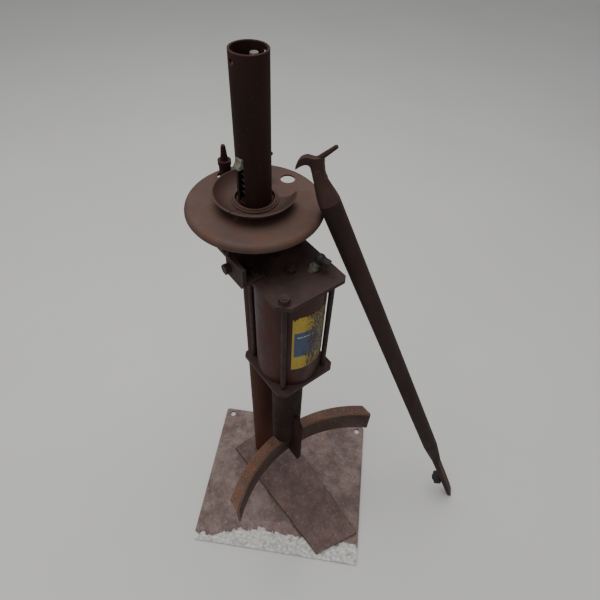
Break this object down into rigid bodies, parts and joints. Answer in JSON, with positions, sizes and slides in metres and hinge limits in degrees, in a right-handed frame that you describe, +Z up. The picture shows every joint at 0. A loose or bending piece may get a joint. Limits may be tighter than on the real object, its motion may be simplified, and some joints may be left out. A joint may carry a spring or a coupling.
{
  "type": "tyre changer stand",
  "caption": "Air-operated tyre changer stand: centre post with round wheel table, side cylinder with curved bead shoes, base plate and a loose bar.",
  "frame": {"origin": "middle of the base plate's underside, centred on its four bolt holes", "axes": "+Z up along the post; +X and +Y along the base plate's edges, the ram standing on the -45 degree diagonal from the post"},
  "size_m": [0.6725, 0.377, 1.097],
  "materials": {
    "plate_rust": "rusted plate with flaked pale paint",
    "dark_rust": "dark brown rust",
    "table_rust": "mid brown rust, worn smooth",
    "ram_steel": "bare speckled steel",
    "shoe_rust": "orange brown rust",
    "cast_rust": "cast and rusted",
    "zinc": "dull zinc",
    "bronze": "dull bronze",
    "rubber": "black",
    "decal": "scratched printed film, no lettering",
    "mud": "dried mud and grease over a steel disc"
  },
  "bodies": {
    "stand": {"base_plate": "plate_rust", "rest_channel": "plate_rust", "channel_welds": "plate_rust", "post_lower": "dark_rust", "post_foot_weld": "dark_rust", "post_upper": "dark_rust", "post_cross_pin": "dark_rust", "post_plug": "mud", "post_stud": "zinc", "post_rivet": "dark_rust", "head_plate": "dark_rust", "head_weld": "dark_rust", "gland_plate": "dark_rust", "gland_bush": "bronze", "rod_seal": "rubber", "barrel": "dark_rust", "barrel_gaskets": "rubber", "tie_rods": "dark_rust", "tie_nuts_lower": "dark_rust", "tie_nuts_upper": "dark_rust", "tie_washers": "dark_rust", "spring_anchor": "dark_rust", "anchor_nut": "dark_rust", "return_spring": "dark_rust", "air_nipple": "zinc", "air_elbow": "cast_rust", "side_lug": "dark_rust", "side_lug_bolts": "dark_rust", "side_lug_stud": "dark_rust", "table_hub": "dark_rust", "table_spacers": "dark_rust", "table": "table_rust", "pin_socket": "dark_rust", "latch_spring": "zinc", "spring_seat": "dark_rust", "decal": "decal"},
    "ram": {"ram_tube": "ram_steel", "piston": "cast_rust", "piston_seal": "rubber", "piston_plate": "cast_rust", "piston_screws": "dark_rust", "ram_foot": "ram_steel", "shoe_webs": "shoe_rust", "shoe_flanges": "shoe_rust", "shoe_gusset": "ram_steel", "shoe_welds": "shoe_rust"},
    "latch": {"latch_key": "zinc", "latch_carrier": "dark_rust"},
    "hold_down_dish": {"dish": "table_rust", "dish_collar": "table_rust", "dish_sleeve": "table_rust"},
    "pin": {"locating_pin": "dark_rust", "pin_collar": "dark_rust"},
    "bar": {"bar_tube": "dark_rust", "bar_shank": "cast_rust", "bar_head": "cast_rust", "roller_pin": "dark_rust"},
    "roller": {"bar_roller": "rubber"}
  },
  "joints": [
    {"name": "ram_slide", "type": "slide", "parent": "stand", "child": "ram", "axis": [0, 0, -1], "range_m": [0, 0.178], "stiffness_N_per_m": 1500, "springref_m": -0.12, "deforming": ["return_spring"]},
    {"name": "latch_slide", "type": "slide", "parent": "stand", "child": "latch", "axis": [0, 0, 1], "range_m": [-0.025, 0], "stiffness_N_per_m": 600, "springref_m": 0.02, "deforming": ["latch_spring"]},
    {"name": "dish_slide", "type": "slide", "parent": "stand", "child": "hold_down_dish", "axis": [0, 0, 1], "range_m": [0, 0.02]},
    {"name": "pin_lift", "type": "slide", "parent": "stand", "child": "pin", "axis": [0, 0, 1], "range_m": [0, 0.06]},
    {"name": "bar_lean", "type": "hinge", "parent": "stand", "child": "bar", "pos_m": [0.45289, 0.03482, 0.00331], "axis": [0.0889, 0.996, 0], "range_deg": [0, 25]},
    {"name": "roller_spin", "type": "hinge", "parent": "bar", "child": "roller", "pos_m": [0.40499, 0.0391, 0.07579], "axis": [-0.9029, 0.0806, -0.4221], "continuous": true}
  ]
}
